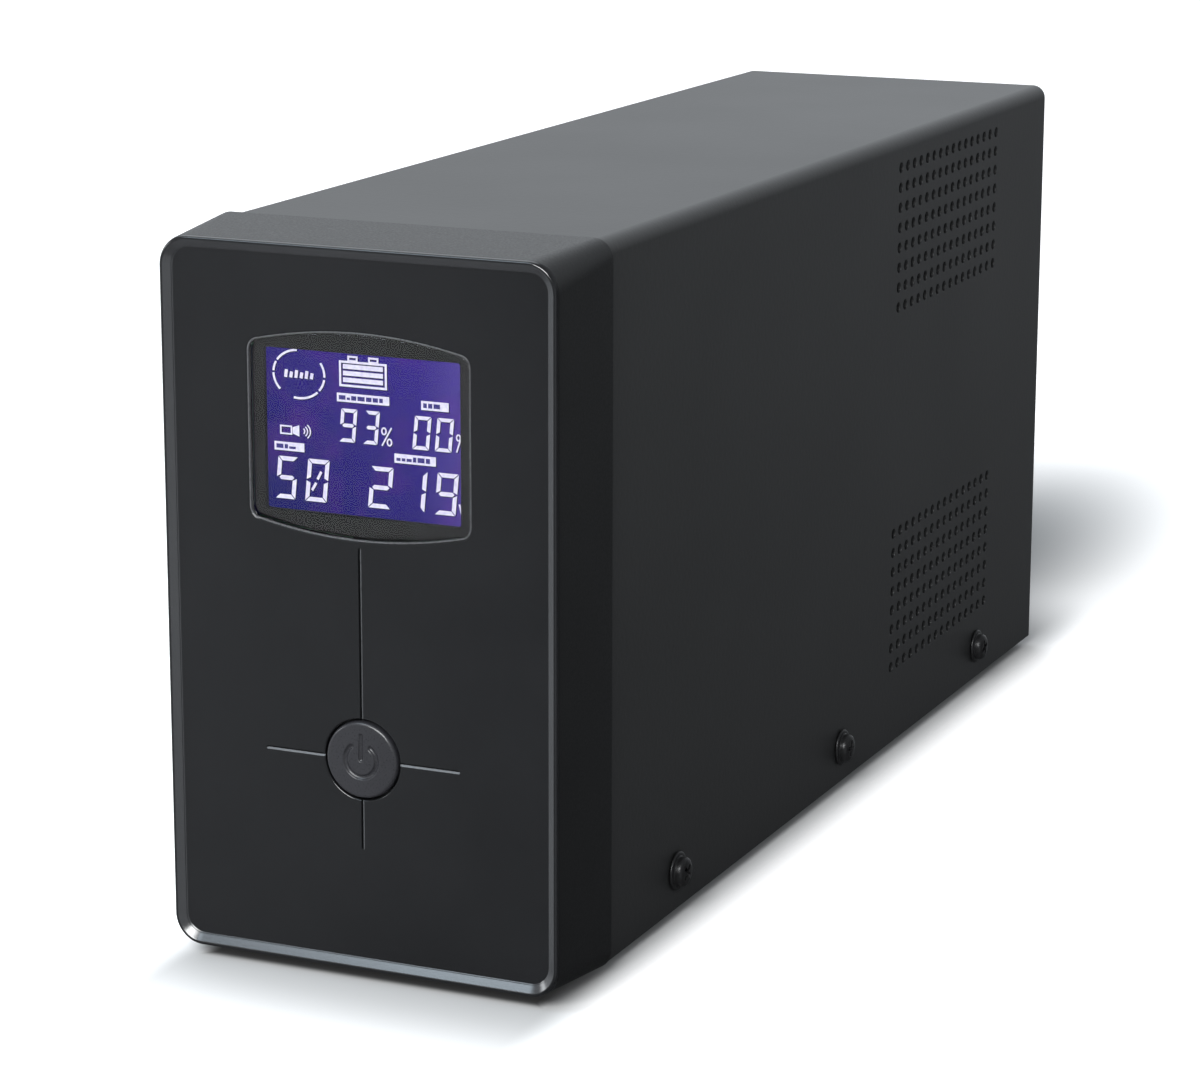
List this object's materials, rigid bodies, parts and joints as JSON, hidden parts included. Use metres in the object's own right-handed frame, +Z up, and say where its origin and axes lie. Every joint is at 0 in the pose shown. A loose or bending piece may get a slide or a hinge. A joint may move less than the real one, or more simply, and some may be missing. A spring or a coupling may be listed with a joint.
{
  "type": "uninterruptible power supply",
  "caption": "Tower uninterruptible power supply with a lit display and round power button on a moulded front, and a perforated sheet-steel case.",
  "frame": {"origin": "bottom centre of the whole object, on the surface that the feet stand on", "axes": "+X to the right of the front seen from the front, +Y from the front panel to the back, +Z up"},
  "size_m": [0.0852, 0.2928, 0.1428],
  "materials": {
    "front_plastic": "semi-gloss moulded, fine texture",
    "button_plastic": "satin",
    "lens": "clear tinted acrylic",
    "black_plastic": "matte moulded",
    "lcd": "lit display glass",
    "light_guide": "frosted",
    "steel_paint": "satin black powder coat",
    "bare_steel": "zinc-plated sheet",
    "screw_black": "black oxide",
    "rubber": "matte",
    "brass": "nickel-plated brass",
    "fuse_metal": "polished cap",
    "board_green": "solder mask",
    "battery_case": "moulded case",
    "winding": "taped winding",
    "heat_sink_aluminium": "extruded",
    "relay_blue": "moulded",
    "capacitor_sleeve": "sleeved can",
    "lead_black": "wire insulation",
    "lead_red": "wire insulation",
    "ribbon": "flat cable"
  },
  "bodies": {
    "case": {"alarm_buzzer": "black_plastic", "backlight_guide": "light_guide", "battery": "battery_case", "battery_lead_negative": "lead_black", "battery_lead_positive": "lead_red", "battery_terminal_negative": "bare_steel", "battery_terminal_positive": "bare_steel", "bezel_screw_1": "bare_steel", "bezel_screw_2": "bare_steel", "board_bridge_1": "bare_steel", "board_bridge_2": "bare_steel", "capacitor_1": "capacitor_sleeve", "capacitor_2": "capacitor_sleeve", "chassis_tray": "bare_steel", "cover_screw_1": "screw_black", "cover_screw_2": "screw_black", "cover_screw_3": "screw_black", "cover_screw_4": "screw_black", "cover_screw_5": "screw_black", "cover_screw_6": "screw_black", "display_board": "board_green", "display_lens": "lens", "display_mask": "black_plastic", "display_ribbon": "ribbon", "front_bezel": "front_plastic", "heat_sink": "heat_sink_aluminium", "inlet_pin_earth": "brass", "inlet_pin_line": "brass", "inlet_pin_neutral": "brass", "lcd_glass": "lcd", "main_board": "board_green", "mains_inlet": "black_plastic", "mains_outlet_1": "black_plastic", "mains_outlet_2": "black_plastic", "mains_outlet_3": "black_plastic", "power_transistor_1": "black_plastic", "power_transistor_2": "black_plastic", "power_transistor_3": "black_plastic", "power_transistor_4": "black_plastic", "rear_panel": "steel_paint", "relay_1": "relay_blue", "relay_2": "relay_blue", "rubber_foot_1": "rubber", "rubber_foot_2": "rubber", "rubber_foot_3": "rubber", "rubber_foot_4": "rubber", "surge_jacks": "black_plastic", "switch_body": "black_plastic", "top_cover": "steel_paint", "transformer_bridge": "bare_steel", "transformer_coil": "winding", "transformer_core": "bare_steel", "usb_port": "bare_steel"},
    "button": {"power_button": "button_plastic"},
    "plunger": {"switch_plunger": "light_guide"},
    "drawer": {"fuse": "fuse_metal", "fuse_drawer": "black_plastic"}
  },
  "joints": [
    {"name": "power_button_press", "type": "slide", "parent": "case", "child": "button", "axis": [0, 1, 0], "range_m": [0, 0.001], "stiffness_N_per_m": 900, "springref_m": -0.001},
    {"name": "switch_plunger_press", "type": "slide", "parent": "case", "child": "plunger", "axis": [0, 1, 0], "range_m": [0, 0.001]},
    {"name": "fuse_drawer_slide", "type": "slide", "parent": "case", "child": "drawer", "axis": [0, 1, 0], "range_m": [0, 0.015]}
  ],
  "couplings": [
    {"joint": "switch_plunger_press", "follows": "power_button_press", "ratio": 1}
  ]
}
